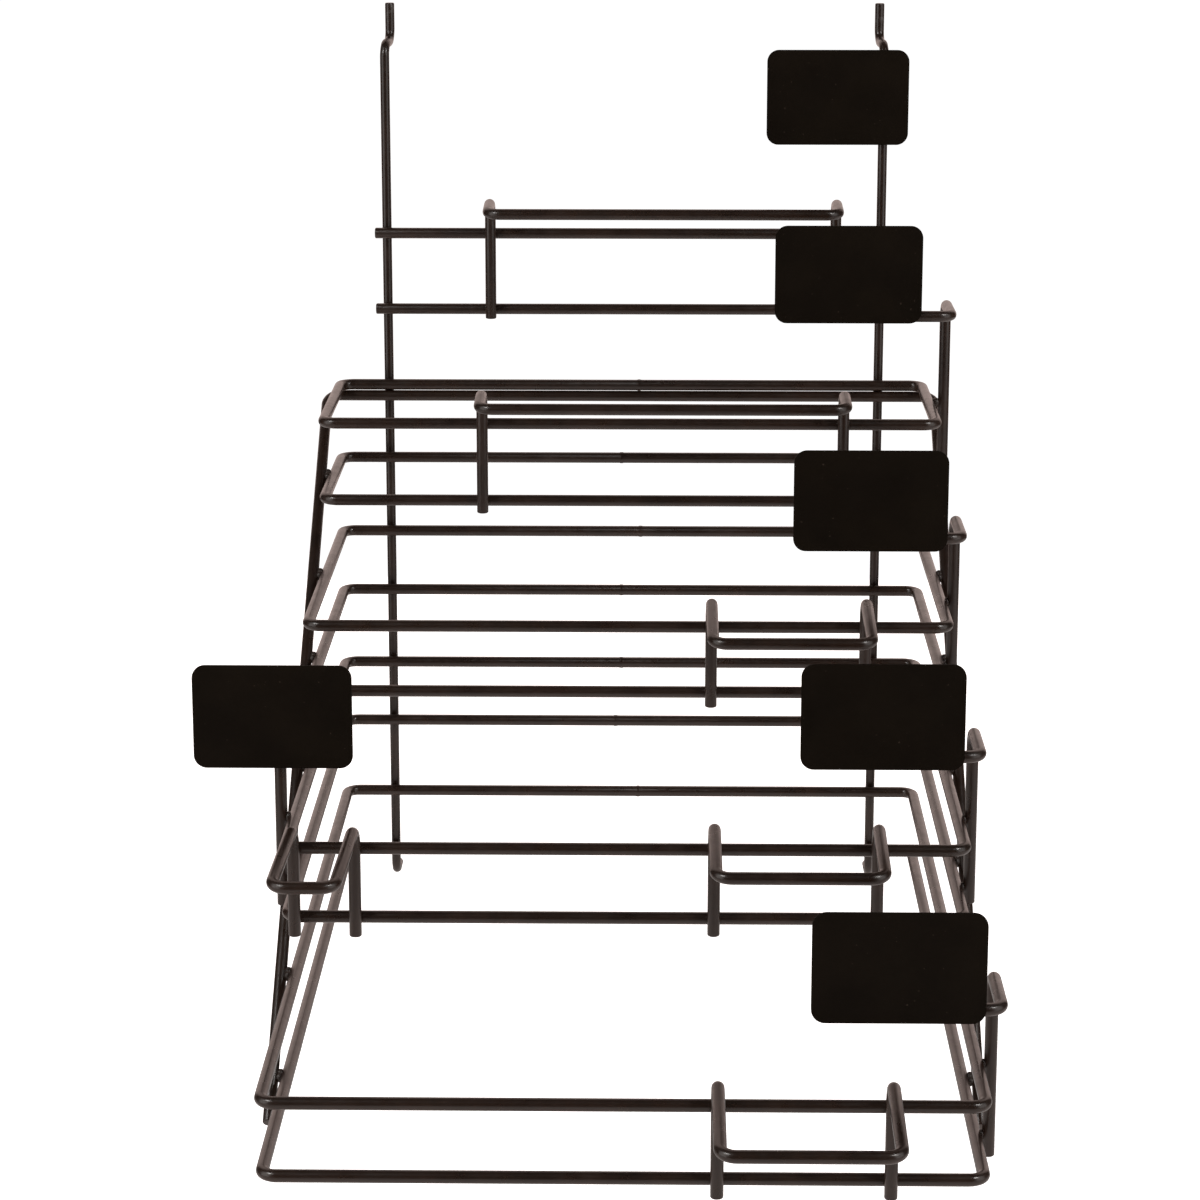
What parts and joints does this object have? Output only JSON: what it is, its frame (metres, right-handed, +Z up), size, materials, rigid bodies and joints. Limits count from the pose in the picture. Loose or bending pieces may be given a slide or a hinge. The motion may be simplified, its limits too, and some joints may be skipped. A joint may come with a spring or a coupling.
{
  "type": "hanging file rack",
  "caption": "Stepped welded-wire file rack that hooks onto a pegboard, with open rectangular tiers, small wire pockets on their fronts and blank sign plates.",
  "frame": {"origin": "midway between the two top hooks, at the face of the board they hook into, at the height where they pass through it", "axes": "+X to the viewer's right along the tiers, +Y back into the board, +Z up"},
  "size_m": [0.3564, 0.535, 0.4641],
  "materials": {
    "wire": "satin",
    "sign_plate": "matte"
  },
  "bodies": {
    "root": {"left_upright": "wire", "right_upright": "wire", "sloping_brace": "wire", "tier1_upper_cross_wire": "wire", "tier1_lower_cross_wire": "wire", "tier2_upper_hoop": "wire", "tier2_lower_hoop": "wire", "tier3_upper_hoop": "wire", "tier3_lower_hoop": "wire", "tier4_upper_hoop": "wire", "tier4_lower_hoop": "wire", "tier5_upper_hoop": "wire", "tier5_lower_hoop": "wire", "tier1_fence": "wire", "tier2_fence": "wire", "tier3_fence": "wire", "tier4_right_fence": "wire", "tier4_left_fence": "wire", "tier5_fence": "wire", "tier2_sign_holder": "wire", "tier3_sign_holder": "wire", "tier4_right_sign_holder": "wire", "tier4_left_sign_holder": "wire", "tier5_sign_holder": "wire", "tier1_sign_plate": "sign_plate", "tier2_sign_plate": "sign_plate", "tier3_sign_plate": "sign_plate", "tier4_right_sign_plate": "sign_plate", "tier4_left_sign_plate": "sign_plate", "tier5_sign_plate": "sign_plate"}
  },
  "joints": []
}
